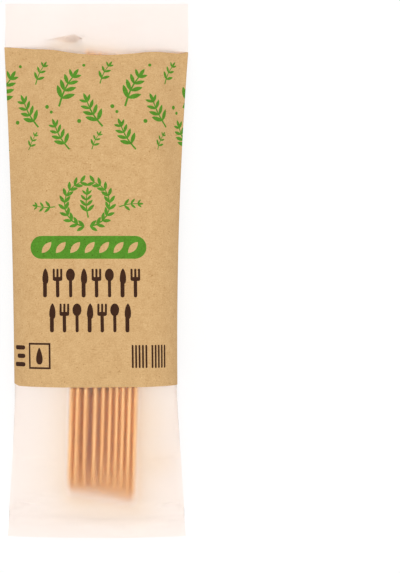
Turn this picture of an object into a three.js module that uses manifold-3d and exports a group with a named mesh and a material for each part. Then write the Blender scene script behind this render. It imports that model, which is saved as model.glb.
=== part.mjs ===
// A pack of ten wooden table knives. The knives stand on edge in a lay-flat bag of frosted
// film, which is sealed at both ends and lapped down its back, and a kraft paper band is
// wrapped round the middle of the bag and lapped at the back too.
// Millimetres, +Z up. The pack lies on its back: X runs across it and +Y towards the tips.
// The origin is the middle of its footprint, on the surface that it lies on.
import * as THREE from "three";
import { mergeVertices } from "three/addons/utils/BufferGeometryUtils.js";
import Module from "manifold-3d";

const wasm = await Module();
wasm.setup();

// Knife: stamped from one sheet of veneer, with its spine down and its teeth up. Its edges
// are pressed thinner all round.
const KNIFE_LENGTH = 165;
const KNIFE_THICKNESS = 1.9;
const EDGE_THICKNESS = 0.8;
const BEVEL_WIDTH = 1.6; // of the pressed edges
const HANDLE_WIDTH = 18;
const HANDLE_STRAIGHT = 36;
const BUTT_RADIUS = 7.5;
const NECK_WIDTH = 12.5;
const NECK_RUN = 15; // from the neck to the heel of the blade
const BLADE_LENGTH = 68;
const BLADE_WIDTH = 16;
const BELLY_LENGTH = 60; // the curved, toothed edge, back from the tip
const TIP_HEIGHT = 5;
const TOOTH_PITCH = 4;
const TOOTH_DEPTH = 0.8;
const PLAIN_TIP = 12; // of the belly, next to the tip, without teeth

// Stack: the knives stand close together on their spines and fan out upwards. The clear gaps
// between them, from left to right, and the middle of the stack at the butts and at the tips
const HANDLE_GAPS = [0.4, 1.1, 1.7, 1.0, 0.65, 0.55, 0.4, 0.45, 0.35]; // at the upper edges
const SPINE_GAP = 0.3;
const HANDLE_CENTRE = 1.35; // of the upper edges at the butts
const SPINE_CENTRE = 2.8;
const TIP_CENTRE = 7.5;
const BUTT_STAGGER = 0.42; // each knife lies this much lower than its left neighbour

// Bag of film
const BAG_WIDTH = 68.5; // lying flat and empty
const FILM = 0.2;
const BUTT_ROOM = 14; // from the bottom edge of the bag to the lowest butt
const TIP_ROOM = 17.2; // from the highest tip to the top edge of the bag
const SEAL_LENGTH = 6.5;
const SEAL_SLIT = 0.1; // between the two films where they meet
const BOTTOM_SEAL_RISE = 4.5;
const TOP_SEAL_RISE = 4;
const BAG_LAP = 8;

// Paper band
const PAPER = 0.25;
const WINDOW_LENGTH = 56; // of bag left bare below the band
const FLAP_LENGTH = 17.5; // of bag left bare above the band
const BAND_LAP = 15;
const EDGE_WAVE = 1.1; // of the band's upper edge, across the front
const EDGE_WAVE_LENGTH = 76;
const EDGE_CREST = -36; // where that wave stands highest
const EDGE_SLANT = 0.02;
const EDGE_WAVE_FADE = 6; // how soon the wave dies out below the edge

// Fits and section
const KNIFE_CLEARANCE = 0.3; // knives to film
const LAYER_GAP = 0.3; // film to film, film to paper and paper to paper
const LAP_RAMP = 3; // the run in which a sheet climbs onto its own lap
const FOLD_SHARE = 0.45; // of the height of the bag at which its side folds lie
const FOLD_ROUNDNESS = 1.35; // 1 is a crease, 2 an ellipse

// Facets
const CURVE_STEPS = 4;
const FLANK_STEPS = 24;
const ROW_STEP = 10;
const LEAST_ROW_STEP = 1.2;
const COLUMN_STEPS = { back: 5, flank: 6, top: 3 };
const SOLVE_STEPS = 50;

const KNIFE_COUNT = HANDLE_GAPS.length + 1;
const STAGGER = BUTT_STAGGER * (KNIFE_COUNT - 1);
const BAG_LENGTH = BUTT_ROOM + STAGGER + KNIFE_LENGTH + TIP_ROOM;
const BAG_BOTTOM = -BAG_LENGTH / 2;
const BAG_TOP = BAG_LENGTH / 2;
const BAG_FLOOR = 2 * (FILM + PAPER) + 3 * LAYER_GAP; // inside of the film above the surface
const KNIFE_FLOOR = BAG_FLOOR + KNIFE_CLEARANCE;

const wood = new THREE.MeshStandardMaterial({ color: 0xe3b67e, roughness: 0.75, metalness: 0 });
const kraft = new THREE.MeshStandardMaterial({ color: 0xd5ad79, roughness: 0.9, metalness: 0 });
const film = new THREE.MeshStandardMaterial({
  color: 0xfdf4ee,
  roughness: 0.45,
  metalness: 0,
  transparent: true,
  opacity: 0.5,
});

// Knife outline, with x along the knife from its butt and y up from its spine

function easeTo(shape, x, y) {
  const from = shape.currentPoint;
  const middle = (from.x + x) / 2;
  shape.bezierCurveTo(middle, from.y, middle, y, x, y);
}

function toothedBelly(shape) {
  const bellyStart = KNIFE_LENGTH - BELLY_LENGTH;
  const belly = new THREE.CubicBezierCurve(
    new THREE.Vector2(KNIFE_LENGTH, TIP_HEIGHT),
    new THREE.Vector2(KNIFE_LENGTH, 2 * TIP_HEIGHT),
    new THREE.Vector2(bellyStart + BELLY_LENGTH / 2, BLADE_WIDTH),
    new THREE.Vector2(bellyStart, BLADE_WIDTH),
  );
  const length = belly.getLength();
  const steps = 2 * Math.round(length / TOOTH_PITCH);
  belly.getSpacedPoints(steps).forEach((point, i) => {
    const isRoot = i % 2 === 1 && (i / steps) * length > PLAIN_TIP;
    if (i > 0) shape.lineTo(point.x, point.y - (isRoot ? TOOTH_DEPTH : 0));
  });
}

function knifeShape() {
  const heel = KNIFE_LENGTH - BLADE_LENGTH;
  const neck = heel - NECK_RUN;
  const neckLow = (BLADE_WIDTH - NECK_WIDTH) / 2;
  const shape = new THREE.Shape();
  shape.moveTo(BUTT_RADIUS, 0);
  shape.lineTo(HANDLE_STRAIGHT, 0);
  easeTo(shape, neck, neckLow);
  easeTo(shape, heel, 0);
  shape.lineTo(KNIFE_LENGTH - TIP_HEIGHT, 0);
  shape.quadraticCurveTo(KNIFE_LENGTH, 0, KNIFE_LENGTH, TIP_HEIGHT);
  toothedBelly(shape);
  shape.lineTo(heel, BLADE_WIDTH);
  easeTo(shape, neck, neckLow + NECK_WIDTH);
  easeTo(shape, HANDLE_STRAIGHT, HANDLE_WIDTH);
  shape.lineTo(BUTT_RADIUS, HANDLE_WIDTH);
  shape.absarc(BUTT_RADIUS, HANDLE_WIDTH - BUTT_RADIUS, BUTT_RADIUS, Math.PI / 2, Math.PI);
  shape.absarc(BUTT_RADIUS, BUTT_RADIUS, BUTT_RADIUS, Math.PI, 1.5 * Math.PI);
  return shape;
}

const outline = knifeShape();

// Where each knife stands: its spine at the butt and at the tip, how far its upper edge leans
// over to one side, and how far that lifts the middle of its spine

function spread(gaps, centre) {
  const places = [0];
  for (const gap of gaps) places.push(places.at(-1) + KNIFE_THICKNESS + gap);
  return places.map((x) => x - places.at(-1) / 2 + centre);
}

const spineGaps = HANDLE_GAPS.map(() => SPINE_GAP);
const spineX = spread(spineGaps, SPINE_CENTRE);
const tipX = spread(spineGaps, TIP_CENTRE);
const leanX = spread(HANDLE_GAPS, HANDLE_CENTRE).map((x, i) => x - spineX[i]);
const buttY = spineX.map((_, i) => BAG_BOTTOM + BUTT_ROOM + STAGGER - BUTT_STAGGER * i);
const yaw = spineX.map((x, i) => -Math.asin((tipX[i] - x) / KNIFE_LENGTH));
const roll = leanX.map((x) => Math.asin(x / HANDLE_WIDTH));
const spineLift = roll.map((angle) => (EDGE_THICKNESS / 2) * Math.abs(Math.sin(angle)));

function knife(i) {
  const bevelDepth = (KNIFE_THICKNESS - EDGE_THICKNESS) / 2;
  const geometry = new THREE.ExtrudeGeometry(outline, {
    depth: EDGE_THICKNESS,
    bevelThickness: bevelDepth,
    bevelSize: BEVEL_WIDTH,
    bevelOffset: -BEVEL_WIDTH,
    bevelSegments: 1,
    curveSegments: CURVE_STEPS,
  });
  geometry.translate(0, 0, -EDGE_THICKNESS / 2);
  const along = new THREE.Vector3(0, 1, 0);
  const up = new THREE.Vector3(0, 0, 1);
  const across = new THREE.Vector3(1, 0, 0);
  geometry.applyMatrix4(new THREE.Matrix4().makeBasis(along, up, across));
  const mesh = new THREE.Mesh(geometry, wood);
  mesh.name = `knife_${String(i + 1).padStart(2, "0")}`;
  mesh.position.set(spineX[i], buttY[i], KNIFE_FLOOR + spineLift[i]);
  mesh.rotation.set(0, roll[i], yaw[i], "ZYX");
  return mesh;
}

// The taut lines of the film over and under the knives, seen from the side

function tautLine(points, side) {
  const line = [];
  const turn = (a, b, c) => (b.x - a.x) * (c.y - a.y) - (b.y - a.y) * (c.x - a.x);
  for (const point of [...points].sort((a, b) => a.x - b.x)) {
    while (line.length > 1 && side * turn(line.at(-2), line.at(-1), point) >= 0) line.pop();
    line.push(point);
  }
  return line;
}

function heightOn(line, y) {
  const next = line.findIndex((point) => point.x > y);
  if (next === 0) return line[0].y;
  if (next < 0) return line.at(-1).y;
  const from = line[next - 1];
  const to = line[next];
  return from.y + ((to.y - from.y) * (y - from.x)) / (to.x - from.x);
}

function filmLine(side) {
  const points = [
    new THREE.Vector2(BAG_BOTTOM + SEAL_LENGTH, BOTTOM_SEAL_RISE + (side * SEAL_SLIT) / 2),
    new THREE.Vector2(BAG_TOP - SEAL_LENGTH, TOP_SEAL_RISE + (side * SEAL_SLIT) / 2),
  ];
  for (let i = 0; i < KNIFE_COUNT; i++)
    for (const { x, y } of outline.getPoints(CURVE_STEPS)) {
      const height = KNIFE_FLOOR + spineLift[i] + y * Math.cos(roll[i]);
      const room = spineLift[i] + KNIFE_CLEARANCE;
      points.push(new THREE.Vector2(buttY[i] + x * Math.cos(yaw[i]), height + side * room));
    }
  return tautLine(points, side);
}

const topLine = filmLine(1);
const bottomLine = filmLine(-1);

// The outer faces of the first and last knife at y, with their clearance

function stackSides(y) {
  const faceAt = (i, side) => {
    const spine = spineX[i] + Math.tan(-yaw[i]) * (y - buttY[i]);
    const lean = Math.max(0, side * leanX[i]);
    const reach = KNIFE_THICKNESS / 2 / Math.cos(yaw[i]) / Math.cos(roll[i]) + KNIFE_CLEARANCE;
    return spine + side * (lean + reach);
  };
  return [faceAt(0, -1), faceAt(KNIFE_COUNT - 1, 1)];
}

const [backLeft, backRight] = [BAG_BOTTOM, BAG_TOP].map(stackSides).reduce((a, b) => [
  Math.min(a[0], b[0]),
  Math.max(a[1], b[1]),
]);

// Section of the bag at y: it runs from the middle of the back to the left, round the
// left fold, over the knives, round the right fold and back. The girth is the bag's own.

function flank(cornerX, cornerZ, foldX, foldZ) {
  return Array.from({ length: FLANK_STEPS + 1 }, (_, k) => {
    const angle = (k / FLANK_STEPS) * (Math.PI / 2);
    const drop = Math.max(0, Math.cos(angle)) ** (2 / FOLD_ROUNDNESS);
    return new THREE.Vector2(
      cornerX + (foldX - cornerX) * Math.sin(angle),
      foldZ + (cornerZ - foldZ) * drop,
    );
  });
}

function sectionOfHalfWidth(y, halfWidth) {
  const top = heightOn(topLine, y);
  const bottom = heightOn(bottomLine, y);
  const fold = bottom + FOLD_SHARE * (top - bottom);
  const [left, right] = stackSides(y);
  const runs = [
    [new THREE.Vector2(0, bottom), ...flank(backLeft, bottom, -halfWidth, fold)],
    flank(left, top, -halfWidth, fold).reverse(),
    [new THREE.Vector2(left, top), new THREE.Vector2(right, top)],
    flank(right, top, halfWidth, fold),
    [...flank(backRight, bottom, halfWidth, fold).reverse(), new THREE.Vector2(0, bottom)],
  ];
  const points = [runs[0][0]];
  const distances = [0];
  const corners = [];
  for (const run of runs) {
    for (const point of run.slice(1)) {
      distances.push(distances.at(-1) + point.distanceTo(points.at(-1)));
      points.push(point);
    }
    corners.push(distances.at(-1));
  }
  const [leftFold, topLeft, topRight, rightFold, girth] = corners;
  return { points, distances, leftFold, topLeft, topRight, rightFold, girth };
}

const solvedSections = new Map();

function sectionAt(y) {
  if (!solvedSections.has(y)) solvedSections.set(y, solveSection(y));
  return solvedSections.get(y);
}

function solveSection(y) {
  let narrow = Math.max(-backLeft, backRight);
  let wide = BAG_WIDTH;
  for (let i = 0; i < SOLVE_STEPS; i++) {
    const middle = (narrow + wide) / 2;
    if (sectionOfHalfWidth(y, middle).girth < 2 * BAG_WIDTH) narrow = middle;
    else wide = middle;
  }
  return sectionOfHalfWidth(y, narrow);
}

function pointOn(section, distance, y) {
  const { points, distances, girth } = section;
  const along = (distance + girth) % girth;
  const next = Math.max(1, distances.findIndex((d) => d > along));
  const share = (along - distances[next - 1]) / (distances[next] - distances[next - 1] || 1);
  const flat = points[next - 1].clone().lerp(points[next], share);
  return new THREE.Vector3(flat.x, y, flat.y);
}

// Sheets that are wrapped round the section, with their two edges lapped at the back

function evenly(from, to, steps) {
  return Array.from({ length: steps }, (_, k) => from + ((to - from) * (k + 1)) / steps);
}

function columnsOf(section, lap) {
  const { leftFold, topLeft, topRight, rightFold, girth } = section;
  const { back, flank: side, top } = COLUMN_STEPS;
  const half = lap / 2;
  const clear = Math.max(BAG_LAP, BAND_LAP) / 2 + LAP_RAMP;
  return [
    -half,
    half,
    clear,
    ...evenly(clear, leftFold, back),
    ...evenly(leftFold, topLeft, side),
    ...evenly(topLeft, topRight, top),
    ...evenly(topRight, rightFold, side),
    ...evenly(rightFold, girth - clear, back),
    girth - half,
    girth + half,
  ];
}

function thickSheet(points, lifts, thickness) {
  const rows = points.length;
  const columns = points[0].length;
  const { clamp } = THREE.MathUtils;
  const at = (r, c) => points[clamp(r, 0, rows - 1)][clamp(c, 0, columns - 1)];
  const inner = [];
  const outer = [];
  for (let r = 0; r < rows; r++)
    for (let c = 0; c < columns; c++) {
      const across = at(r, c + 1).clone().sub(at(r, c - 1));
      const along = at(r + 1, c).clone().sub(at(r - 1, c));
      const normal = across.cross(along).normalize();
      inner.push(...at(r, c).clone().addScaledVector(normal, lifts[c]));
      outer.push(...at(r, c).clone().addScaledVector(normal, lifts[c] + thickness));
    }
  const faces = [];
  const lastRow = rows - 1;
  const lastColumn = columns - 1;
  const quad = (a, b, c, d) => faces.push(a, b, c, a, c, d);
  const inside = (r, c) => r * columns + c;
  const outside = (r, c) => rows * columns + r * columns + c;
  for (let r = 0; r < lastRow; r++)
    for (let c = 0; c < lastColumn; c++) {
      quad(outside(r, c), outside(r, c + 1), outside(r + 1, c + 1), outside(r + 1, c));
      quad(inside(r, c), inside(r + 1, c), inside(r + 1, c + 1), inside(r, c + 1));
    }
  for (let c = 0; c < lastColumn; c++) {
    quad(inside(0, c), inside(0, c + 1), outside(0, c + 1), outside(0, c));
    quad(outside(lastRow, c), outside(lastRow, c + 1), inside(lastRow, c + 1), inside(lastRow, c));
  }
  for (let r = 0; r < lastRow; r++) {
    quad(outside(r, 0), outside(r + 1, 0), inside(r + 1, 0), inside(r, 0));
    const [innerNear, innerFar] = [inside(r, lastColumn), inside(r + 1, lastColumn)];
    quad(innerNear, innerFar, outside(r + 1, lastColumn), outside(r, lastColumn));
  }
  const geometry = new THREE.BufferGeometry();
  geometry.setAttribute("position", new THREE.Float32BufferAttribute([...inner, ...outer], 3));
  geometry.setIndex(faces);
  return geometry;
}

// Each row gives its y at an x of the front or the back. offset lifts the whole sheet off the
// section, and lapOffset lifts its lapped part once more.
function wrappedSheet(rows, lap, thickness, offset, lapOffset) {
  const points = rows.map((yOf) => {
    const level = sectionAt(yOf(0, false));
    return columnsOf(level, lap).map((distance, c) => {
      const isFront = distance > level.leftFold && distance < level.rightFold;
      const y = yOf(pointOn(level, distance, 0).x, isFront);
      const section = sectionAt(y);
      return pointOn(section, columnsOf(section, lap)[c], y);
    });
  });
  const columns = points[0].length;
  const lifts = points[0].map((_, c) => {
    if (c < 2) return offset + lapOffset;
    if (c > columns - 3) return offset + lapOffset + thickness + LAYER_GAP;
    return offset;
  });
  return thickSheet(points, lifts, thickness);
}

// Joining closed meshes

function toSolid(geometry) {
  const bare = geometry.clone();
  bare.deleteAttribute("normal");
  bare.deleteAttribute("uv");
  const merged = mergeVertices(bare);
  return new wasm.Manifold(
    new wasm.Mesh({
      numProp: 3,
      vertProperties: merged.attributes.position.array,
      triVerts: new Uint32Array(merged.index.array),
    }),
  );
}

function toGeometry(solid) {
  const mesh = solid.getMesh();
  const geometry = new THREE.BufferGeometry();
  geometry.setAttribute("position", new THREE.BufferAttribute(mesh.vertProperties, 3));
  geometry.setIndex(new THREE.BufferAttribute(mesh.triVerts, 1));
  return geometry;
}

// Bag: rows of the film at its ends, at the corners of its taut lines and between those

function bagRows() {
  const corners = [...topLine, ...bottomLine].map((point) => point.x).sort((a, b) => a - b);
  const rows = [BAG_BOTTOM];
  for (const y of [...corners, BAG_TOP]) {
    const run = y - rows.at(-1);
    if (run > LEAST_ROW_STEP) rows.push(...evenly(rows.at(-1), y, Math.ceil(run / ROW_STEP)));
  }
  return rows;
}

function seal(y, rise) {
  const box = new THREE.BoxGeometry(BAG_WIDTH, SEAL_LENGTH, SEAL_SLIT + FILM);
  box.translate(0, y, rise);
  return toSolid(box);
}

function bag() {
  const sheet = wrappedSheet(bagRows().map((y) => () => y), BAG_LAP, FILM, 0, 0);
  const sealed = toSolid(sheet)
    .add(seal(BAG_BOTTOM + SEAL_LENGTH / 2, BOTTOM_SEAL_RISE))
    .add(seal(BAG_TOP - SEAL_LENGTH / 2, TOP_SEAL_RISE));
  const mesh = new THREE.Mesh(toGeometry(sealed), film);
  mesh.name = "film_bag";
  return mesh;
}

// Band: its upper edge waves across the front, where the paper lies slack over the tips

function band() {
  const low = BAG_BOTTOM + WINDOW_LENGTH;
  const high = BAG_TOP - FLAP_LENGTH;
  const turn = (x) => (2 * Math.PI * (x - EDGE_CREST)) / EDGE_WAVE_LENGTH;
  const wave = (x) => EDGE_WAVE * Math.cos(turn(x)) - EDGE_SLANT * x;
  const between = bagRows().filter((y) => y > low + LEAST_ROW_STEP && y < high - LEAST_ROW_STEP);
  const rows = [low, ...between, high].map((row) => {
    const share = ((row - low) / (high - low)) ** EDGE_WAVE_FADE;
    return (x, isFront) => row + (isFront ? wave(x) * share : 0);
  });
  const rise = FILM + LAYER_GAP;
  const mesh = new THREE.Mesh(wrappedSheet(rows, BAND_LAP, PAPER, rise, rise), kraft);
  mesh.name = "kraft_band";
  return mesh;
}

const pack = new THREE.Group();
pack.add(bag(), band(), ...spineX.map((_, i) => knife(i)));

export default pack;
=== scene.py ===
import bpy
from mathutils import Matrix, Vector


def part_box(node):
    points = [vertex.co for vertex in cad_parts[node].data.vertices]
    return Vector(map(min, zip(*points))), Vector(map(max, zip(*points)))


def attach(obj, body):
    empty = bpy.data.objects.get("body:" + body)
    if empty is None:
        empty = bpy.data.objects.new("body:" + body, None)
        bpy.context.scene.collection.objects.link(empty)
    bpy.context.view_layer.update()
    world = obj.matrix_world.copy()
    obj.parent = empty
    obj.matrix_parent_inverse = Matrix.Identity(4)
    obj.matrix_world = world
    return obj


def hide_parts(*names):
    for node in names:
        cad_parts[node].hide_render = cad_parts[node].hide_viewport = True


bl_info = {
    "name": "Wooden Knife Pack",
    "version": (1, 0, 0),
    "blender": (4, 5, 0),
    "location": "View3D > Sidebar > Knife Pack",
    "description": "Frosted film bag of wooden knives with a printed kraft paper band",
    "category": "Add Mesh",
}

import functools
import math

import bpy
import numpy as np
from bpy.props import FloatProperty, FloatVectorProperty, PointerProperty
from mathutils import Vector, noise
from mathutils.geometry import delaunay_2d_cdt

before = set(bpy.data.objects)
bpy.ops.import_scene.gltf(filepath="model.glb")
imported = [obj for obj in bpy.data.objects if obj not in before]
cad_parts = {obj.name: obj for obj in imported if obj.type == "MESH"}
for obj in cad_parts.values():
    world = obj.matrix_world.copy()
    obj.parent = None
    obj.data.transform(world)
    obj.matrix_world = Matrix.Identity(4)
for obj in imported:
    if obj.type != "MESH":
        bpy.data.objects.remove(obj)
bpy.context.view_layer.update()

MM = 0.001
KNIFE_NAMES = sorted(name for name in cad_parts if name.startswith("knife_"))
BAG_LOW, BAG_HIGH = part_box("film_bag")
BAG_BOTTOM, BAG_TOP = BAG_LOW[1], BAG_HIGH[1]
BAG_WIDTH = BAG_HIGH[0] - BAG_LOW[0]
KNIFE_FLOOR = min(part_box(name)[0][2] for name in KNIFE_NAMES)

# Grid of the filled bag: columns in the runs round the girth and how they crowd at the folds, the distance
# between rows, the samples along a flank, and the halvings that find how round it is
RUN_STEPS = (38, 32, 20, 32, 38)
COLUMNS = sum(RUN_STEPS)
FOLD_CROWDING = 1.5
ROW_STEP = 0.8 * MM
FLANK_SAMPLES = 96
ROUNDNESS_HALVINGS = 24

# Filled bag: how the film lies on the knives and over the floor and how it bends, where its ends are sealed,
# and the room that front and back keep up to the folds
FILM_REST = 0.15 * MM
BACK_HEIGHT = 0.6 * MM
BUTT_SLACK = 4.0 * MM
BEND = 2.6 * MM
SEAL_LENGTH = 6.5 * MM
SEAL_SLIT = 0.02 * MM
SEAL_EDGE = 0.1 * MM
LAYER_ROOM = 0.04 * MM
FOLD_SHARE = 0.45
LEAST_ROUNDNESS = 0.6
MOST_ROUNDNESS = 2.4
CALM_ROOM = 1.5 * MM

# Weld down the back, where the edges of the film lie over each other
FILM_LAP = 8.0 * MM
WELD_EDGE = 1.5 * MM

# Outline from above: full width at the top end, a waist over the handles, and wider again at the bottom end
HEAD_PLACE = BAG_TOP - 16.5 * MM
WAIST_PLACE = -45 * MM
WAIST_HALF_WIDTH = 30.1 * MM
TOE_HALF_WIDTH = 33.4 * MM
HEAD_CURVE = 2.2
TOE_CURVE = 1.3

# Bow of the outline to the left, between the flat ends
BOW = 0.55 * MM
BOW_PLACE = 10 * MM
BOW_REACH = 80 * MM

# Bottom seal: its two ends hang lower than its middle
DROOP = 4.5 * MM
DROOP_START = -80 * MM
DROOP_RUN = 17 * MM

# Dents and creases of the front in millimetres: height, middle, reach along and across, and turn. The last
# one is the slack over the handle ends
DENTS = (
    (-1.1, (3.0, 78.0), (11.0, 3.0), 0.0),
    (0.7, (9.5, 79.2), (6.5, 1.9), 0.25),
    (1.2, (0.0, 85.0), (10.0, 2.6), 0.0),
    (0.45, (-24.0, -86.0), (12.0, 1.6), 0.75),
    (0.40, (25.0, -84.0), (12.0, 1.6), -0.8),
    (-0.35, (20.0, -66.0), (10.0, 2.5), -1.1),
    (4.2, (1.5, -81.5), (18.0, 9.0), -0.1),
)

# Fine unevenness of the sheets: its height in millimetres, and its scale
UNEVENNESS = 0.12
UNEVEN_SCALE = 0.09

# Ripples of the seals, where both films rise together, given as the dents are
RIPPLES = (
    (0.7, (14.0, -98.6), (9.0, 1.4), 0.05),
    (0.4, (-12.0, -95.5), (11.0, 1.6), -0.1),
    (0.5, (20.0, 97.0), (12.0, 2.2), 0.15),
    (-0.4, (-20.0, 96.0), (10.0, 2.0), 0.1),
)

# Painted warm bounce light from the wood, as a tint of the film beside it: how it sets in and fades, how much
# faster it fades past the tips, and where it lies thicker, given as the dents are
PAINTED_BOUNCE_EDGE = 1.0 * MM
PAINTED_BOUNCE_FADE = 6.5 * MM
TIP_FADE = 3.0
PAINTED_BOUNCE_MARKS = (
    (0.4, (22.0, -71.0), (6.0, 5.0), 0.0),
    (0.25, (20.0, -56.0), (6.0, 9.0), 0.0),
    (0.4, (-6.0, -83.8), (5.0, 2.5), 0.0),
    (0.2, (1.0, -90.0), (12.0, 3.0), 0.0),
    (0.7, (-13.8, 84.0), (5.0, 1.5), 0.0),
)

# Painted grey shade on the film where it is creased, given as the dents are
PAINTED_SHADE_MARKS = (
    (0.22, (-12.0, 86.6), (7.0, 1.6), 0.0),
    (0.75, (-7.8, 84.7), (3.2, 1.4), -0.75),
)

# Tuck in the film of the top end: its middle, how far it reaches up and down, and its depth and ends across
TUCK_PLACE = 86.3 * MM
TUCK_REACH = 1.7 * MM
TUCK_DEPTH = 6.5 * MM
TUCK_START = -22 * MM
TUCK_PEAK = -8 * MM
TUCK_END = -5 * MM

# Paper band, in millimetres: its lap, its upper edge, which sags over the tips and rises at both corners, and
# its lower edge, which hangs in the middle, is worn at the left corner and lies higher at the back
BAND_LAP = 15.0
LAP_RAMP = 3.0
BAND_TOP = 81.8
BAND_SLANT = 0.028
BAND_SAG = 1.6
SAG_MIDDLE = 1.2
SAG_REACH = 15.5
BAND_FLARE = 0.9
FLARE_PLACE = 30.0
FLARE_RUN = 5.0
CORNER_RISE = 0.75
CORNER_PLACE = -22.0
CORNER_RUN = 12.0
BAND_FOOT = -42.4
FOOT_SLANT = -0.0046
FOOT_HANG = 0.42
WORN_RISE = 1.0
WORN_PLACE = -28.3
WORN_RUN = 3.0
BACK_RISE = 3.0

# Sheets: the gap from the paper to the film and to its own lap, the angle of a sharp edge, and the distance
# within which points of the unrolled band become one
LAYER_GAP = 0.04 * MM
SHARP_ANGLE = math.radians(50)
MERGE_DISTANCE = 1e-7

# Film's finish: how it bends light, its tone where it is cloudy, and how much its frost varies
FILM_IOR = 1.2
CLOUD_TONE = (0.99, 0.984, 0.98)
FROST_SPREAD = 0.05

# Depth of the fibres in the bare paper and in its inks, and its share in each colour
KRAFT_FIBRE = 0.07
LEAF_FIBRE = 0.09
BARK_FIBRE = 0.12
FIBRE_TONE = np.array((1.0, 1.35, 1.8))

# Stage: the floor's half width, the grey of the light it throws back, its shaded and its glowing part under
# the film and in the open, the lamp's size and place, and how often light bounces
FLOOR_HALF = 3.0
FLOOR_GREY = 0.8
UNDER_FILM = (0.07, 0.98)
OPEN_FLOOR = (0.2, 0.81)
LAMP_SIZE = 0.7
LAMP_PLACE = (-0.05, 0.05, 1.11)
LIGHT_BOUNCES = {
    "max_bounces": 32,
    "diffuse_bounces": 8,
    "glossy_bounces": 16,
    "transmission_bounces": 24,
}

# Photograph's frame: its size in pixels, a pixel's size on the pack, and the pixel of the pack's middle
FRAME_WIDTH = 400
FRAME_HEIGHT = 573
PIXEL = 0.375 * MM
MIDDLE_PIXEL = (96.75, 270.5)


# Settings


class KnifePackFilm(bpy.types.PropertyGroup):
    """Film of the bag"""

    thickness: FloatProperty(
        name="Thickness",
        description="Thickness of the film",
        default=0.06 * MM,
        unit="LENGTH",
        precision=5,
    )
    tint: FloatVectorProperty(
        name="Tint",
        description="Colour of the film",
        default=(0.996, 0.957, 0.933),
        size=3,
        subtype="COLOR",
    )
    # Painted warm bounce light: share of each colour that the film's tint takes away beside the wood
    painted_bounce: FloatVectorProperty(
        name="Haze",
        description="Share of each colour that the film takes away beside the wood",
        default=(0.03, 0.08, 0.15),
        size=3,
    )
    # Painted shade: share of each colour that the film's tint takes away at the crease
    shade: FloatVectorProperty(
        name="Shade",
        description="Share of each colour that the film takes away at a crease",
        default=(0.10, 0.09, 0.08),
        size=3,
    )
    frost: FloatProperty(
        name="Frost",
        description="Roughness of the film, which blurs what lies away from it",
        default=0.9,
        subtype="FACTOR",
    )
    clearness: FloatProperty(
        name="Clearness",
        description="Share of the light that passes the film, the rest being scattered",
        default=0.99,
        subtype="FACTOR",
    )


class KnifePackBand(bpy.types.PropertyGroup):
    """Paper band and its inks"""

    thickness: FloatProperty(
        name="Thickness",
        description="Thickness of the paper",
        default=0.13 * MM,
        unit="LENGTH",
        precision=5,
    )
    kraft: FloatVectorProperty(
        name="Kraft",
        description="Colour of the bare paper",
        default=(0.635, 0.400, 0.182),
        size=3,
        subtype="COLOR",
    )
    leaf_ink: FloatVectorProperty(
        name="Leaf ink",
        description="Colour of the green ink",
        default=(0.088, 0.262, 0.019),
        size=3,
        subtype="COLOR",
    )
    bark_ink: FloatVectorProperty(
        name="Bark ink",
        description="Colour of the brown ink",
        default=(0.046, 0.016, 0.006),
        size=3,
        subtype="COLOR",
    )


class KnifePackWood(bpy.types.PropertyGroup):
    """Wood of the knives"""

    light_grain: FloatVectorProperty(
        name="Light grain",
        description="Colour of the wood between the grain lines",
        default=(0.95, 0.63, 0.315),
        size=3,
        subtype="COLOR",
    )
    dark_grain: FloatVectorProperty(
        name="Dark grain",
        description="Colour of the grain lines",
        default=(0.85, 0.485, 0.207),
        size=3,
        subtype="COLOR",
    )


class KnifePackStage(bpy.types.PropertyGroup):
    """Lights and camera"""

    camera_height: FloatProperty(
        name="Camera height",
        description="Height of the camera over the floor",
        default=0.68,
        unit="LENGTH",
    )
    sky: FloatProperty(
        name="Sky",
        description="Strength of the even light from all round",
        default=0.80,
    )
    key: FloatProperty(
        name="Key",
        description="Power of the soft lamp above the pack, in watts",
        default=3.7,
    )


# Form of the filled bag


def eased(share):
    """Smooth step from 0 to 1"""
    share = np.clip(share, 0, 1)
    return share * share * (3 - 2 * share)


def node_points(name):
    """Points of a packed solid's mesh"""
    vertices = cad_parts[name].data.vertices
    points = np.empty(len(vertices) * 3)
    vertices.foreach_get("co", points)
    return points.reshape(-1, 3)


def end_height(y):
    """Height of the bag's seal at one of its ends"""
    points = node_points("film_bag")
    return float(np.median(points[abs(points[:, 1] - y) < SEAL_EDGE][:, 2]))


def taut_line(points, side):
    """Upper (side 1) or lower (side -1) hull of points along the pack"""
    line = []
    for y, z in sorted(points):
        while len(line) > 1:
            (y0, z0), (y1, z1) = line[-2], line[-1]
            if side * ((y1 - y0) * (z - z0) - (z1 - z0) * (y - y0)) < 0:
                break
            line.pop()
        line.append((y, z))
    return np.array(line)


def film_heights(side, rest, rows):
    """Heights of the film over or under the knives, drawn tight from seal to seal and round at its bends"""
    points = [
        (BAG_BOTTOM + SEAL_LENGTH, end_height(BAG_BOTTOM) + side * SEAL_SLIT / 2),
        (BAG_TOP - SEAL_LENGTH, end_height(BAG_TOP) + side * SEAL_SLIT / 2),
    ]
    for name in KNIFE_NAMES:
        for _, y, z in node_points(name):
            points += [(y - BUTT_SLACK, z + side * rest), (y + BUTT_SLACK, z + side * rest)]
    line = taut_line(points, side)
    heights = np.interp(rows, line[:, 0], line[:, 1])
    bend = BEND / (rows[1] - rows[0])
    reach = math.ceil(3 * bend)
    weights = np.exp(-0.5 * (np.arange(-reach, reach + 1) / bend) ** 2)
    return np.convolve(np.pad(heights, reach, mode="edge"), weights / weights.sum(), mode="valid")


def stack_side(name, side, rows):
    """Places across the pack of the film along a knife's left (side -1) or right (side 1), drawn tight"""
    points = [(y, x + side * FILM_REST) for x, y, _ in node_points(name)]
    line = taut_line(points, side)
    return np.interp(rows, line[:, 0], line[:, 1])


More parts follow.
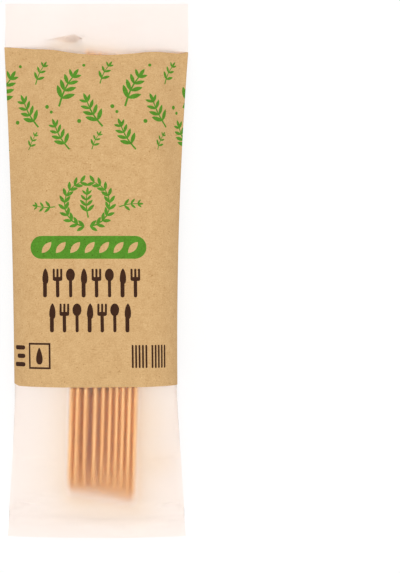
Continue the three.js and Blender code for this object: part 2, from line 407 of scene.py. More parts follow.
def half_widths(rows):
    """Half of the pack's width, as seen from above"""
    head = ((rows - WAIST_PLACE) / (HEAD_PLACE - WAIST_PLACE)).clip(0, 1)
    toe = ((WAIST_PLACE - rows) / (WAIST_PLACE - BAG_BOTTOM)).clip(0, 1)
    widths = WAIST_HALF_WIDTH + (BAG_WIDTH / 2 - WAIST_HALF_WIDTH) * head**HEAD_CURVE
    return widths + (TOE_HALF_WIDTH - WAIST_HALF_WIDTH) * toe**TOE_CURVE


def fold_places(rows):
    """Places across the pack of the left and the right fold"""
    middles = -BOW * (1 - ((rows - BOW_PLACE) / BOW_REACH) ** 2).clip(0)
    widths = half_widths(rows)
    return np.column_stack([middles - widths, middles + widths])


def flank(corner, fold, roundness):
    """Film from an edge of the stack to the fold at the bag's side"""
    angle = np.linspace(0, math.pi / 2, FLANK_SAMPLES)
    x = corner[0] + (fold[0] - corner[0]) * np.sin(angle)
    z = fold[1] + (corner[1] - fold[1]) * np.cos(angle).clip(0) ** (2 / roundness)
    return np.column_stack([x, z])


def fold_height(top, bottom):
    """Height of the folds between front and back"""
    return bottom + FOLD_SHARE * (top - bottom)


def section_runs(top, bottom, sides, back, folds, roundness):
    """Runs of a section, from the back's middle round the left fold, the front and the right fold"""
    left, right = ((x, fold_height(top, bottom)) for x in folds)
    middle = [[0.0, bottom]]
    return [
        np.vstack([middle, flank((back[0], bottom), left, roundness)]),
        flank((sides[0], top), left, roundness)[::-1],
        np.array([[sides[0], top], [sides[1], top]]),
        flank((sides[1], top), right, roundness),
        np.vstack([flank((back[1], bottom), right, roundness)[::-1], middle]),
    ]


def distances(run):
    """Distance of each point of a run from its start"""
    steps = np.linalg.norm(np.diff(run, axis=0), axis=1)
    return np.concatenate([[0], np.cumsum(steps)])


def close_at_start(share):
    """Shares of a run that crowd towards its start"""
    return share**FOLD_CROWDING


def close_at_end(share):
    """Shares of a run that crowd towards its end"""
    return 1 - (1 - share) ** FOLD_CROWDING


RUN_CROWDING = (close_at_end, close_at_start, np.array, close_at_end, close_at_start)


def section(*place):
    """Section whose flanks are as round as the film's girth makes them"""
    low, high = LEAST_ROUNDNESS, MOST_ROUNDNESS
    for _ in range(ROUNDNESS_HALVINGS):
        roundness = (low + high) / 2
        runs = section_runs(*place, roundness)
        if sum(distances(run)[-1] for run in runs) < 2 * BAG_WIDTH:
            low = roundness
        else:
            high = roundness
    points = []
    for run, steps, crowding in zip(runs, RUN_STEPS, RUN_CROWDING):
        along = distances(run)
        wanted = along[-1] * crowding(np.linspace(0, 1, steps, endpoint=False))
        points += zip(np.interp(wanted, along, run[:, 0]), np.interp(wanted, along, run[:, 1]))
    return np.array(points)


def mounds(points, marks):
    """Sum of round marks, each with a height and a reach along and across its own direction"""
    x, y = points[..., 0] / MM, points[..., 1] / MM
    rise = np.zeros_like(x)
    for height, middle, reach, turn in marks:
        along = (x - middle[0]) * math.cos(turn) + (y - middle[1]) * math.sin(turn)
        across = (y - middle[1]) * math.cos(turn) - (x - middle[0]) * math.sin(turn)
        rise += height * np.exp(-((along / reach[0]) ** 2) - (across / reach[1]) ** 2)
    return rise


def drooped(points):
    """Front and back moved up and down together, at the seals"""
    share = eased((DROOP_START - points[..., 1]) / DROOP_RUN)
    across = points[..., 0] / TOE_HALF_WIDTH
    shift = DROOP * share * (1 / 3 - across**2) + mounds(points, RIPPLES) * MM
    return points + np.stack([np.zeros_like(shift), np.zeros_like(shift), shift], axis=-1)


def slack(points, front):
    """How far the sheets stand off their taut form where they have room"""
    x, y, z = np.moveaxis(points, 2, 0) / MM
    rise = mounds(points, DENTS) * front
    for place in np.ndindex(rise.shape):
        spot = Vector((x[place], y[place], z[place])) * UNEVEN_SCALE
        rise[place] += UNEVENNESS * noise.noise(spot)
    return rise * MM


def tucked(points, front):
    """Front film doubled over itself in a short pleat that runs out at both ends"""
    x, y, z = np.moveaxis(points, 2, 0)
    share = (y - TUCK_PLACE) / TUCK_REACH
    rising = eased((x - TUCK_START) / (TUCK_PEAK - TUCK_START))
    falling = eased((TUCK_END - x) / (TUCK_END - TUCK_PEAK))
    shift = TUCK_DEPTH * share * np.exp(-(share**2)) * rising * falling * front
    return np.stack([x, y - shift, z], axis=-1)


def outward(points):
    """Directions out of the film at the points of its grid"""
    across = np.roll(points, -1, axis=1) - np.roll(points, 1, axis=1)
    normals = np.cross(across, np.gradient(points, axis=0))
    return normals / np.linalg.norm(normals, axis=2, keepdims=True)


class PackForm:
    """Inner face of the film as a grid of points, with rows along the pack and columns round its girth"""

    def __init__(self):
        self.rows = np.linspace(BAG_BOTTOM, BAG_TOP, round((BAG_TOP - BAG_BOTTOM) / ROW_STEP) + 1)
        tops = film_heights(1, FILM_REST, self.rows)
        bottoms = film_heights(-1, KNIFE_FLOOR - BACK_HEIGHT, self.rows)
        left = stack_side(KNIFE_NAMES[0], -1, self.rows)
        right = stack_side(KNIFE_NAMES[-1], 1, self.rows)
        folds = fold_places(self.rows)
        back = (left.min(), right.max())
        grid = []
        for y, top, bottom, start, end, fold in zip(self.rows, tops, bottoms, left, right, folds):
            x, z = section(top, bottom, (start, end), back, fold).T
            grid.append(np.column_stack([x, np.full(COLUMNS, y), z]))
        flat = np.array(grid)
        calm = eased(abs(flat[..., 2] - fold_height(tops, bottoms)[:, None]) / CALM_ROOM)
        left_fold, right_fold = RUN_STEPS[0], COLUMNS - RUN_STEPS[-1]
        columns = np.arange(COLUMNS)
        facing = np.sign((columns - left_fold) * (right_fold - columns))
        self.front = facing >= 0
        flat[..., 2] += LAYER_ROOM * facing
        taut = drooped(flat)
        loose = taut + outward(taut) * (calm * slack(taut, self.front))[..., None]
        self.points = tucked(loose, self.front)
        self.normals = outward(self.points)
        closed = np.concatenate([self.points, self.points[:, :1]], axis=1)
        steps = np.linalg.norm(np.diff(closed, axis=1), axis=2)
        self.girth = np.pad(np.cumsum(steps, axis=1), ((0, 0), (1, 0)))
        around = self.girth[:, :-1]
        from_middle = np.minimum(around, self.girth[:, -1:] - around)
        self.weld = eased((FILM_LAP / 2 - from_middle) / WELD_EDGE + 0.5)[..., None]

    def row_at(self, y):
        """Row at a place along the pack, in whole and part rows"""
        return (y - self.rows[0]) / (self.rows[1] - self.rows[0])

    def sample(self, grid, columns, ys):
        """Values of a grid at places along it and fractional columns, which count on past the last one"""
        row = self.row_at(ys)
        low = np.floor(row).astype(int).clip(0, len(self.rows) - 2)
        left = np.floor(columns).astype(int)
        up = (row - low)[:, None]
        over = (columns - left)[:, None]
        left, right = left % COLUMNS, (left + 1) % COLUMNS
        below = grid[low, left] * (1 - over) + grid[low, right] * over
        above = grid[low + 1, left] * (1 - over) + grid[low + 1, right] * over
        return below * (1 - up) + above * up

    def column_at(self, u, y):
        """Column at a distance to the right of the front's middle, round the girth"""
        row = int(round(self.row_at(y)))
        girth = self.girth[row]
        return float(np.interp(girth[-1] / 2 + u, girth, np.arange(COLUMNS + 1)))


@functools.lru_cache
def pack_form():
    """Form of the filled bag, worked out once"""
    return PackForm()


# Meshes


def border_edges(faces):
    """Directed edges that only one face has"""
    directed = {(a, b) for face in faces for a, b in zip(face, face[1:] + face[:1])}
    return sorted(edge for edge in directed if edge[::-1] not in directed)


def make_sheet(name, inner, outer, faces, materials, inks=()):
    """Object for a sheet of two sides, closed along its edges, whose outer faces may have inks"""
    count = len(outer)
    back = [tuple(count + v for v in (face[0], *reversed(face[1:]))) for face in faces]
    rim = [(b, a, count + a, count + b) for a, b in border_edges(faces)]
    mesh = bpy.data.meshes.new(name)
    mesh.from_pydata(np.vstack([outer, inner]).tolist(), [], [*faces, *back, *rim])
    for material in materials:
        mesh.materials.append(material)
    for polygon, ink in zip(mesh.polygons, inks):
        polygon.material_index = ink
    mesh.shade_smooth()
    mesh.set_sharp_from_angle(angle=SHARP_ANGLE)
    piece = bpy.data.objects.new(name, mesh)
    bpy.context.scene.collection.objects.link(piece)
    return piece


# Materials


def new_material(name):
    """Material with its nodes and links"""
    material = bpy.data.materials.new(name)
    material.use_nodes = True
    return material, material.node_tree.nodes, material.node_tree.links


def stretched_noise(nodes, links, scale, stretch=(1, 1, 1), detail=3.0):
    """Noise in the object's own space, which may be drawn out along an axis"""
    place = nodes.new("ShaderNodeTexCoord")
    mapping = nodes.new("ShaderNodeMapping")
    mapping.inputs["Scale"].default_value = stretch
    texture = nodes.new("ShaderNodeTexNoise")
    texture.inputs["Scale"].default_value = scale
    texture.inputs["Detail"].default_value = detail
    links.new(place.outputs["Object"], mapping.inputs["Vector"])
    links.new(mapping.outputs["Vector"], texture.inputs["Vector"])
    return texture.outputs["Fac"]


def ramp(nodes, links, source, low, high):
    """Colours between two stops, each a place on the source and a colour or a grey level"""
    node = nodes.new("ShaderNodeValToRGB")
    for element, (place, colour) in zip(node.color_ramp.elements, (low, high)):
        element.position = place
        element.color = (*np.broadcast_to(colour, 3), 1)
    links.new(source, node.inputs["Fac"])
    return node.outputs["Color"]


def multiplied(nodes, links, *layers):
    """Product of colour layers"""
    product = layers[0]
    for layer in layers[1:]:
        node = nodes.new("ShaderNodeMix")
        node.data_type = "RGBA"
        node.blend_type = "MULTIPLY"
        node.inputs["Factor"].default_value = 1.0
        first, second = (socket for socket in node.inputs if socket.type == "RGBA")
        links.new(product, first)
        links.new(layer, second)
        product = next(socket for socket in node.outputs if socket.type == "RGBA")
    return product


def add_bump(nodes, links, height, depth, strength):
    """Fine relief on the material's surface"""
    bump = nodes.new("ShaderNodeBump")
    bump.inputs["Distance"].default_value = depth
    bump.inputs["Strength"].default_value = strength
    links.new(height, bump.inputs["Height"])
    links.new(bump.outputs["Normal"], nodes["Principled BSDF"].inputs["Normal"])


def mark_tone(nodes, links, name, share):
    """What a mark on the film leaves of each colour, by the mesh attribute of its name"""
    mark = nodes.new("ShaderNodeAttribute")
    mark.attribute_name = name
    return ramp(nodes, links, mark.outputs["Fac"], (0, 1), (1, 1 - np.array(share)))


def film_material(film):
    """Frosted film: clear, with a warm tint, a faint cloud, painted bounce light and painted shade, and a
    fine matt grain
    """
    material, nodes, links = new_material("matt_film")
    shader = nodes["Principled BSDF"]
    shader.inputs["Transmission Weight"].default_value = film.clearness
    shader.inputs["IOR"].default_value = FILM_IOR
    tint = np.array(film.tint)
    cloud = stretched_noise(nodes, links, scale=60, stretch=(1, 0.45, 1))
    tone = multiplied(
        nodes,
        links,
        ramp(nodes, links, cloud, (0.3, tint * CLOUD_TONE), (0.7, tint)),
        # Painted warm bounce light beside the wood
        mark_tone(nodes, links, "painted_bounce", film.painted_bounce),
        # Painted grey shade at the crease
        mark_tone(nodes, links, "shade", film.shade),
    )
    links.new(tone, shader.inputs["Base Color"])
    grain = stretched_noise(nodes, links, scale=900)
    frost = ramp(nodes, links, grain, (0.3, film.frost - FROST_SPREAD), (0.7, film.frost + FROST_SPREAD))
    links.new(frost, shader.inputs["Roughness"])
    add_bump(nodes, links, cloud, depth=0.4 * MM, strength=0.12)
    return material


def paper_material(name, colour, depth):
    """Uncoated paper: mottled pulp, a fine grain, short fibres both ways, and dark and pale flecks"""
    material, nodes, links = new_material(name)
    shader = nodes["Principled BSDF"]
    shader.inputs["Roughness"].default_value = 0.88
    shader.inputs["Specular IOR Level"].default_value = 0.2
    colour = np.array(colour)
    fibre = depth * FIBRE_TONE
    mottle = stretched_noise(nodes, links, scale=330, detail=2.0)
    grain = stretched_noise(nodes, links, scale=2400, stretch=(0.8, 1, 1), detail=4.0)
    weft = stretched_noise(nodes, links, scale=2000, stretch=(0.25, 1, 1), detail=2.0)
    warp = stretched_noise(nodes, links, scale=1800, stretch=(1, 0.25, 1), detail=2.0)
    dots = stretched_noise(nodes, links, scale=1500, detail=1.0)
    flakes = stretched_noise(nodes, links, scale=1100, stretch=(0.7, 1, 1), detail=1.0)
    tone = multiplied(
        nodes,
        links,
        ramp(nodes, links, mottle, (0.3, colour * (1 - 0.6 * fibre)), (0.7, colour * (1 + 0.6 * fibre))),
        ramp(nodes, links, grain, (0.3, 1 - 1.4 * fibre), (0.7, 1 + 1.4 * fibre)),
        ramp(nodes, links, weft, (0.26, 1 - 2.5 * fibre), (0.38, 1)),
        ramp(nodes, links, warp, (0.25, 1 - 2.0 * fibre), (0.36, 1)),
        ramp(nodes, links, dots, (0.23, 1 - 5 * fibre), (0.29, 1)),
        ramp(nodes, links, flakes, (0.71, 1), (0.78, 1 + 2 * fibre)),
    )
    links.new(tone, shader.inputs["Base Color"])
    add_bump(nodes, links, grain, depth=0.06 * MM, strength=0.35)
    return material


def birch_material(wood):
    """Birch veneer with its grain along the knife, and fine pores"""
    material, nodes, links = new_material("birch_veneer")
    shader = nodes["Principled BSDF"]
    shader.inputs["Roughness"].default_value = 0.62
    shader.inputs["Specular IOR Level"].default_value = 0.25
    lines = stretched_noise(nodes, links, scale=900, stretch=(1, 0.03, 1), detail=5.0)
    pores = stretched_noise(nodes, links, scale=3800, stretch=(1, 0.05, 1))
    tone = multiplied(
        nodes,
        links,
        ramp(nodes, links, lines, (0.32, wood.dark_grain), (0.62, wood.light_grain)),
        ramp(nodes, links, pores, (0.28, 0.86), (0.42, 1)),
    )
    links.new(tone, shader.inputs["Base Color"])
    add_bump(nodes, links, lines, depth=0.08 * MM, strength=0.4)
    return material


# Film bag


def painted_wood_bounce(points):
    """Painted warm bounce light from the wood, as a tint of the film: thick beside the stack of knives, and
    over it only where it has marks
    """
    knives = [node_points(name) for name in KNIFE_NAMES]
    left = stack_side(KNIFE_NAMES[0], -1, points[:, 1])
    right = stack_side(KNIFE_NAMES[-1], 1, points[:, 1])
    middles = [knife[:, 0].mean() for knife in knives]
    butts = np.interp(points[:, 0], middles, [knife[:, 1].min() for knife in knives])
    tips = np.interp(points[:, 0], middles, [knife[:, 1].max() for knife in knives])
    beside = np.maximum(left - points[:, 0], points[:, 0] - right).clip(0)
    beyond = np.maximum(butts - points[:, 1], TIP_FADE * (points[:, 1] - tips)).clip(0)
    away = np.hypot(beside, beyond)
    return eased(away / PAINTED_BOUNCE_EDGE) * np.exp(-away / PAINTED_BOUNCE_FADE) + mounds(points, PAINTED_BOUNCE_MARKS)


def make_film_bag(film):
    """Tube of film, sealed flat at both ends and of double thickness at the weld down its back"""
    form = pack_form()
    outer = form.points + form.normals * film.thickness * (1 + form.weld)
    faces = []
    for r in range(len(form.rows) - 1):
        for c in range(COLUMNS):
            low, high = r * COLUMNS, (r + 1) * COLUMNS
            right = (c + 1) % COLUMNS
            faces.append((low + c, low + right, high + right, high + c))
    flat = form.points.reshape(-1, 3), outer.reshape(-1, 3)
    bag = make_sheet("film_bag_sheet", *flat, faces, [film_material(film)])
    # Painted warm bounce light and painted grey shade, stored as point attributes of the film
    for name, marks in (("painted_bounce", painted_wood_bounce(flat[0])), ("shade", mounds(flat[0], PAINTED_SHADE_MARKS))):
        attribute = bag.data.attributes.new(name, "FLOAT", "POINT")
        attribute.data.foreach_set("value", np.tile(marks, 2))
    return bag


# Print on the band, in millimetres to the right and up from the middle of the unrolled front

BARE, LEAF, BARK = 0, 1, 2
UPRIGHT = math.pi / 2


def turned(points, angle, place):
    """Points turned by an angle and moved to a place"""
    c, s = math.cos(angle), math.sin(angle)
    return [(place[0] + x * c - y * s, place[1] + x * s + y * c) for x, y in points]


def oval(place, across, up, steps=40):
    """Outline of an oval round a place"""
    turns = [2 * math.pi * k / steps for k in range(steps)]
    return [(place[0] + across * math.cos(t), place[1] + up * math.sin(t)) for t in turns]


def lens(place, angle, length, width, steps=8):
    """Leaf shape that starts at a place and points along an angle"""
    lower = []
    for k in range(steps + 1):
        share = k / steps
        lower.append((length * share, -width / 2 * math.sin(math.pi * share) ** 0.8))
    upper = [(x, -y) for x, y in lower[-2:0:-1]]
    return turned(lower + upper, angle, place)


def stroke(points, widths):
    """Outline of a stroke of changing width along a line of points"""
    points = np.array(points)
    along = np.gradient(points, axis=0)
    along /= np.linalg.norm(along, axis=1, keepdims=True)
    left = np.column_stack([-along[:, 1], along[:, 0]]) * (np.array(widths) / 2)[:, None]
    return [tuple(p) for p in np.vstack([points - left, (points + left)[::-1]])]


def capsule(start, end, width, steps=8):
    """Bar with round ends"""
    heading = math.atan2(end[1] - start[1], end[0] - start[0])
    outline = []
    for place, facing in ((end, heading), (start, heading + math.pi)):
        for k in range(steps + 1):
            turn = facing - math.pi / 2 + math.pi * k / steps
            outline.append((place[0] + width / 2 * math.cos(turn), place[1] + width / 2 * math.sin(turn)))
    return outline


def block(left, low, right, high):
    """Outline of a rectangle"""
    return [(left, low), (right, low), (right, high), (left, high)]


def stem_place(length, share):
    """Place on a bowed stem at a share of its length"""
    return (length * share, 0.07 * length * math.sin(math.pi * share))


def sprig(root, heading, length, pairs, steps=12):
    """Bowed stem with pairs of slim leaflets and one at its tip"""
    stem = [stem_place(length, share) for share in np.linspace(0, 0.84, steps)]
    shapes = [stroke(stem, np.linspace(0.05, 0.03, steps) * length)]
    for k in range(pairs):
        share = 0.2 + 0.56 * k / (pairs - 1)
        leaf = length * (0.38 - 0.2 * share)
        for side in (-1, 1):
            shapes.append(lens(stem_place(length, share), side * 0.8, leaf, 0.34 * leaf))
    shapes.append(lens(stem[-2], -0.1, 0.26 * length, 0.09 * length))
    return [(LEAF, turned(shape, heading, root)) for shape in shapes]


def sprig_border():
    """Sprigs in a half drop, leaning to and fro, with berries between them"""
    pitch = 12.2
    foot = 44.5
    shapes = []
    for k in range(7):
        u = pitch * (k - 3)
        lean = 0.5 if k % 2 else -0.5
        if k % 2:
            shapes += sprig((u + 2, 53), UPRIGHT + lean, 14, 4)
            shapes += sprig((u + 1, 69), UPRIGHT - lean, 9.5, 3)
            shapes += sprig((u - 2, foot), UPRIGHT - lean, 7.5, 3)
        else:
            shapes += sprig((u - 2, 60.5), UPRIGHT + lean, 15.5, 4)
            shapes += sprig((u + 2, foot), UPRIGHT - lean, 13, 4)
        shapes.append((LEAF, oval((u + 5.5, 60.5 if k % 2 else 55.0), 0.75, 0.75, 16)))
        shapes.append((LEAF, oval((u - 5.0, 76.0 if k % 2 else 58.5), 0.6, 0.6, 16)))
    return shapes


def wreath():
    """Two branches of leaflets bent to a ring round one sprig, with two more sprigs at its sides"""
    middle = (-3.6, 24.4)
    radius = 8.3
    shapes = []
    for side in (-1, 1):
        turns = [-UPRIGHT + side * (0.12 + 0.3 * k) for k in range(10)]
        branch = [(middle[0] + radius * math.cos(t), middle[1] + radius * math.sin(t)) for t in turns]
        shapes.append((LEAF, stroke(branch, np.linspace(0.6, 0.3, len(turns)))))
        for turn, base in zip(turns, branch):
            heading = turn + side * UPRIGHT
            for spread in (-0.65, 0.65):
                shapes.append((LEAF, lens(base, heading + spread, 3.3, 1.25)))
    shapes += sprig((middle[0] + 0.4, middle[1] - 5.0), UPRIGHT, 11, 4)
    shapes += sprig((middle[0] - 11.8, middle[1] - 1.0), math.pi - 0.1, 8.8, 3)
    shapes += sprig((middle[0] + 11.8, middle[1] - 1.0), 0.1, 8.8, 3)
    return shapes


def leaf_plate():
    """Bar with a row of bare leaf shapes"""
    level = 8.5
    pitch = 5.3
    shapes = [(LEAF, capsule((-20.6, level), (14.0, level), 8.4, 14))]
    for k in range(7):
        shapes.append((BARE, lens((-20.3 + pitch * k, 6.4), 0.85, 5.4, 2.4)))
    return shapes


def fork_sign(u, v, tall):
    """Handle, root and three tines"""
    root = v + 0.14 * tall
    shapes = [capsule((u, v - 0.44 * tall), (u, v + 0.1 * tall), 0.12 * tall)]
    shapes.append(capsule((u - 0.1 * tall, root), (u + 0.1 * tall, root), 0.14 * tall))
    for k in (-1, 0, 1):
        x = u + 0.13 * tall * k
        shapes.append(capsule((x, root), (x, v + 0.46 * tall), 0.075 * tall))
    return shapes


def knife_sign(u, v, tall):
    """Handle and blade"""
    blade = [(u + 0.02 * tall, v + tall * t) for t in np.linspace(-0.02, 0.5, 9)]
    widths = tall * np.array([0.14, 0.2, 0.22, 0.22, 0.21, 0.19, 0.16, 0.11, 0.03])
    return [capsule((u, v - 0.43 * tall), (u, v), 0.14 * tall), stroke(blade, widths)]


def spoon_sign(u, v, tall):
    """Handle and bowl"""
    handle = capsule((u, v - 0.44 * tall), (u, v + 0.14 * tall), 0.11 * tall)
    return [handle, oval((u, v + 0.28 * tall), 0.155 * tall, 0.22 * tall)]


def sign_row(left, right, v, tall, count):
    """Knives, forks and spoons in turn, side by side"""
    shapes = []
    for k in range(count):
        sign = (knife_sign, fork_sign, spoon_sign)[k % 3]
        u = left + 0.2 * tall + (right - left - 0.4 * tall) * k / (count - 1)
        shapes += [(BARK, shape) for shape in sign(u, v, tall)]
    return shapes


def drop_sign():
    """Square frame with a drop in it, beside three short bars"""
    top, length, width, steps = -28.3, 6.2, 4.6, 14
    shapes = [(BARK, block(-25.8, -36.2, -17.2, -26.6)), (BARE, block(-25.1, -35.5, -17.9, -27.3))]
    drop = [(-21.5, top - length * t) for t in np.linspace(0, 1, steps)]
    shares = np.linspace(0.001, 1, steps)
    widths = [width * math.sqrt(t) * math.sqrt(1.02 - t) * (0.5 + t) for t in shares]
    shapes.append((BARK, stroke(drop, widths)))
    for k, left in enumerate((-31.6, -30.6, -32.0)):
        level = -28.4 - 3.1 * k
        shapes.append((BARK, capsule((left, level), (-28.2, level), 1.6)))
    return shapes


def count_strokes():
    """One upright stroke for each knife, in two groups"""
    start, pitch, parting = 12.9, 1.25, 1.0
    low, high, width = -35.4, -27.6, 0.7
    half = len(KNIFE_NAMES) // 2
    shapes = []
    for k in range(len(KNIFE_NAMES)):
        u = start + pitch * k + parting * (k >= half)
        shapes.append((BARK, capsule((u, low), (u, high), width)))
    return shapes


def band_print():
    """Inked and bare shapes from the top of the band down, of which a later one covers an earlier one"""
    tall = 10.6
    shapes = sprig_border() + wreath() + leaf_plate()
    shapes += sign_row(-21.3, 16.2, -4.6, tall, count=8)
    shapes += sign_row(-18.7, 13.2, -17.4, tall, count=7)
    return shapes + drop_sign() + count_strokes()


# Kraft band


def band_upper_edge(u, front):
    """Upper edge of the band at places across the pack, in millimetres"""
    sag = BAND_SAG * np.exp(-(((u - SAG_MIDDLE) / SAG_REACH) ** 4))
    flare = BAND_FLARE * np.where(front, eased((u - FLARE_PLACE) / FLARE_RUN), 0.5 + u * MM / BAG_WIDTH)
    corner = CORNER_RISE * np.where(front, eased((CORNER_PLACE - u) / CORNER_RUN), 0.5 - u * MM / BAG_WIDTH)
    return BAND_TOP - BAND_SLANT * u + flare + corner - sag


def band_lower_edge(u, front):
    """Lower edge of the band at places across the pack, in millimetres"""
    worn = np.where(front, eased((WORN_PLACE - u) / WORN_RUN), 0.5 - u * MM / BAG_WIDTH)
    lift = np.where(front, -FOOT_HANG, BACK_RISE) * (1 - (2 * u * MM / BAG_WIDTH) ** 2)
    return BAND_FOOT - FOOT_SLANT * u * front + WORN_RISE * worn + lift


def edge_line(form, columns, edge, level):
    """Places along the pack of one of the band's edges, at each of its columns"""
    row = int(round(form.row_at(level * MM)))
    numbers = np.round(columns).astype(int) % COLUMNS
    return edge(form.points[row, numbers, 0] / MM, form.front[numbers]) * MM


def band_layout(form):
    """Flat mesh of the unrolled band, cut along its columns, its rows and the edges of its print"""
    pitch = form.girth[:, -1].mean() / COLUMNS
    lap = math.ceil(BAND_LAP * MM / 2 / pitch)
    columns = np.arange(-lap, COLUMNS + lap + 1)
    low = edge_line(form, columns, band_lower_edge, BAND_FOOT)
    high = edge_line(form, columns, band_upper_edge, BAND_TOP)
    outline = [*zip(columns, low), *zip(columns[::-1], high[::-1])]
    shapes = [(BARE, outline)]
    for ink, shape in band_print():
        shapes.append((ink, [(form.column_at(u * MM, v * MM), v * MM) for u, v in shape]))
    points, edges, faces = [], [], []
    for _, shape in shapes:
        faces.append(list(range(len(points), len(points) + len(shape))))
        points += [Vector((column * pitch, y)) for column, y in shape]
    rows = form.rows[(form.rows > low.min()) & (form.rows < high.max())]
    lines = [((c, low.min()), (c, high.max())) for c in columns[1:-1]]
    lines += [((columns[0], y), (columns[-1], y)) for y in rows]
    for line in lines:
        edges.append((len(points), len(points) + 1))
        points += [Vector((column * pitch, y)) for column, y in line]
    spots, _, triangles, _, _, owners = delaunay_2d_cdt(points, edges, faces, 0, MERGE_DISTANCE)
    kept = [(tuple(t), shapes[max(owner)][0]) for t, owner in zip(triangles, owners) if 0 in owner]
    used = sorted({v for triangle, _ in kept for v in triangle})
    number = {v: k for k, v in enumerate(used)}
    triangles = [tuple(number[v] for v in triangle) for triangle, _ in kept]
    inks = [ink for _, ink in kept]
    flat = np.array([spots[v] for v in used])
    return flat[:, 0] / pitch, flat[:, 1], triangles, inks


def make_kraft_band(film, band):
    """Printed sheet of paper, wrapped round the film and lapped at the back"""
    form = pack_form()
    columns, ys, faces, inks = band_layout(form)
    points = form.sample(form.points, columns, ys)
    normals = form.sample(form.normals, columns, ys)
    normals /= np.linalg.norm(normals, axis=1, keepdims=True)
    pitch = form.girth[:, -1].mean() / COLUMNS
    to_lap = (columns - COLUMNS) * pitch / MM + BAND_LAP / 2 + LAP_RAMP
    lift = LAYER_GAP + (band.thickness + LAYER_GAP) * eased(to_lap / LAP_RAMP)
    film_layers = 1 + form.sample(form.weld, columns, ys)
    inner = points + normals * (film.thickness * film_layers + lift[:, None])
    outer = inner + normals * band.thickness
    materials = [
        paper_material("kraft_sheet", band.kraft, KRAFT_FIBRE),
        paper_material("leaf_ink", band.leaf_ink, LEAF_FIBRE),
        paper_material("bark_ink", band.bark_ink, BARK_FIBRE),
    ]
    return make_sheet("kraft_band_sheet", inner, outer, faces, materials, inks)


# Stage


def seen_by(nodes, links, rays, usual, special):
    """Shader that gives way to a special one for some kinds of rays, but not for rays off a matt surface"""
    path = nodes.new("ShaderNodeLightPath")
    shader = usual
    for ray, other in [*((ray, special) for ray in rays), ("Diffuse Depth", usual)]:
        mix = nodes.new("ShaderNodeMixShader")
        links.new(path.outputs[ray], mix.inputs["Fac"])
        links.new(shader, mix.inputs[1])
        links.new(other, mix.inputs[2])
        shader = mix.outputs[0]
    return shader


def shaded_white(nodes, links, grey, glow):
    """White ground that takes light and shade with a part of its brightness and glows with the rest"""
    shaded = nodes.new("ShaderNodeBsdfDiffuse")
    shaded.inputs["Color"].default_value = (grey, grey, grey, 1)
    bright = nodes.new("ShaderNodeEmission")
    bright.inputs["Strength"].default_value = glow
    both = nodes.new("ShaderNodeAddShader")
    links.new(shaded.outputs[0], both.inputs[0])
    links.new(bright.outputs[0], both.inputs[1])
    return both.outputs[0]


def floor_material():
    """White ground, with a faint shadow of the pack for the camera and a fainter one through the film"""
    material, nodes, links = new_material("white_ground")
    nodes.remove(nodes["Principled BSDF"])
    bounce = nodes.new("ShaderNodeBsdfDiffuse")
    bounce.inputs["Color"].default_value = (FLOOR_GREY, FLOOR_GREY, FLOOR_GREY, 1)
    under_film = shaded_white(nodes, links, *UNDER_FILM)
    open_floor = shaded_white(nodes, links, *OPEN_FLOOR)
    surface = seen_by(nodes, links, ("Is Glossy Ray", "Is Transmission Ray"), bounce.outputs[0], under_film)
    surface = seen_by(nodes, links, ("Is Camera Ray",), surface, open_floor)
    links.new(surface, nodes["Material Output"].inputs["Surface"])
    return material


def make_floor():
    """Level square under the pack"""
    corners = [(FLOOR_HALF * x, FLOOR_HALF * y, 0) for x, y in ((-1, -1), (1, -1), (1, 1), (-1, 1))]
    mesh = bpy.data.meshes.new("floor")
    mesh.from_pydata(corners, [], [(0, 1, 2, 3)])
    mesh.materials.append(floor_material())
    floor = bpy.data.objects.new("floor", mesh)
    bpy.context.scene.collection.objects.link(floor)


def make_lights(stage):
    """Even sky, white where it is seen, and one large soft lamp above the pack"""
    world = bpy.data.worlds.new("studio")
    world.use_nodes = True
    nodes, links = world.node_tree.nodes, world.node_tree.links
    sky = nodes["Background"]
    sky.inputs["Color"].default_value = (1, 1, 1, 1)
    sky.inputs["Strength"].default_value = stage.sky
    white = nodes.new("ShaderNodeBackground")
    white.inputs["Color"].default_value = (1, 1, 1, 1)
    white.inputs["Strength"].default_value = 1.0
    rays = ("Is Camera Ray", "Is Glossy Ray", "Is Transmission Ray")
    surface = seen_by(nodes, links, rays, sky.outputs[0], white.outputs[0])
    links.new(surface, nodes["World Output"].inputs["Surface"])
    bpy.context.scene.world = world
    lamp = bpy.data.lights.new("key", "AREA")
    lamp.energy = stage.key
    lamp.size = LAMP_SIZE
    key = bpy.data.objects.new("key", lamp)
    key.location = LAMP_PLACE
    key.rotation_euler = (-key.location).to_track_quat("-Z", "Y").to_euler()
    bpy.context.scene.collection.objects.link(key)


def make_camera(stage):
    """Camera straight above the pack, with the picture shifted so that the pack stands at its left"""
    camera = bpy.data.cameras.new("camera")
    camera.sensor_fit = "VERTICAL"
    view_height = FRAME_HEIGHT * PIXEL
    camera.lens = camera.sensor_height * (stage.camera_height - end_height(BAG_TOP)) / view_height
    camera.shift_x = (FRAME_WIDTH / 2 - MIDDLE_PIXEL[0]) / FRAME_HEIGHT
    camera.shift_y = (MIDDLE_PIXEL[1] - FRAME_HEIGHT / 2) / FRAME_HEIGHT
    eye = bpy.data.objects.new("camera", camera)
    eye.location = (0, 0, stage.camera_height)
    bpy.context.scene.collection.objects.link(eye)
    bpy.context.scene.camera = eye


# Operators


class KNIFEPACK_OT_stage(bpy.types.Operator):
    """Make the floor, the lights and the camera"""

    bl_idname = "knifepack.stage"
    bl_label = "Stage"

    def execute(self, context):
        stage = context.scene.knifepack_stage
        context.scene.view_settings.view_transform = "Standard"
        for name, count in LIGHT_BOUNCES.items():
            setattr(context.scene.cycles, name, count)
        make_floor()
        make_lights(stage)
        make_camera(stage)
        return {"FINISHED"}


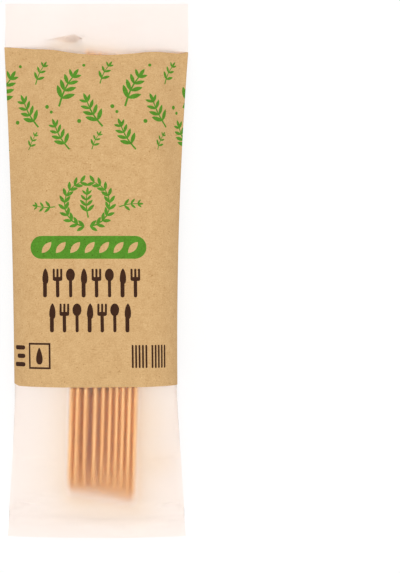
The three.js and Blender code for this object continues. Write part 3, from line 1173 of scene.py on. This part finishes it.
class KNIFEPACK_OT_knives(bpy.types.Operator):
    """Give the wooden knives their birch finish"""

    bl_idname = "knifepack.knives"
    bl_label = "Wooden Knives"

    def execute(self, context):
        birch = birch_material(context.scene.knifepack_wood)
        for name in KNIFE_NAMES:
            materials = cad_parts[name].data.materials
            materials.clear()
            materials.append(birch)
        return {"FINISHED"}


class KNIFEPACK_OT_film_bag(bpy.types.Operator):
    """Make the film bag"""

    bl_idname = "knifepack.film_bag"
    bl_label = "Film Bag"

    def execute(self, context):
        bag = make_film_bag(context.scene.knifepack_film)
        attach(bag, "root")
        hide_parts("film_bag")
        return {"FINISHED"}


class KNIFEPACK_OT_kraft_band(bpy.types.Operator):
    """Make the printed paper band"""

    bl_idname = "knifepack.kraft_band"
    bl_label = "Kraft Band"

    def execute(self, context):
        scene = context.scene
        band = make_kraft_band(scene.knifepack_film, scene.knifepack_band)
        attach(band, "root")
        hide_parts("kraft_band")
        return {"FINISHED"}


class KNIFEPACK_PT_panel(bpy.types.Panel):
    """Sidebar panel of the knife pack"""

    bl_idname = "KNIFEPACK_PT_panel"
    bl_label = "Knife Pack"
    bl_space_type = "VIEW_3D"
    bl_region_type = "UI"
    bl_category = "Knife Pack"

    def draw(self, context):
        for operator in OPERATORS:
            self.layout.operator(operator.bl_idname)
        for name, group in SETTINGS.items():
            box = self.layout.box()
            box.label(text=group.__doc__)
            for key in group.__annotations__:
                box.prop(getattr(context.scene, name), key)


SETTINGS = {
    "knifepack_film": KnifePackFilm,
    "knifepack_band": KnifePackBand,
    "knifepack_wood": KnifePackWood,
    "knifepack_stage": KnifePackStage,
}
OPERATORS = (KNIFEPACK_OT_stage, KNIFEPACK_OT_knives, KNIFEPACK_OT_film_bag, KNIFEPACK_OT_kraft_band)
CLASSES = (*SETTINGS.values(), *OPERATORS, KNIFEPACK_PT_panel)


def register():
    """Register the settings, the operators and the panel"""
    for cls in CLASSES:
        bpy.utils.register_class(cls)
    for name, group in SETTINGS.items():
        setattr(bpy.types.Scene, name, PointerProperty(type=group))


def unregister():
    """Take back what register did"""
    for name in SETTINGS:
        delattr(bpy.types.Scene, name)
    for cls in reversed(CLASSES):
        bpy.utils.unregister_class(cls)


def main():
    """Make the scene"""
    register()
    bpy.ops.knifepack.stage()
    bpy.ops.knifepack.knives()
    bpy.ops.knifepack.film_bag()
    bpy.ops.knifepack.kraft_band()


if __name__ == "__main__":
    main()
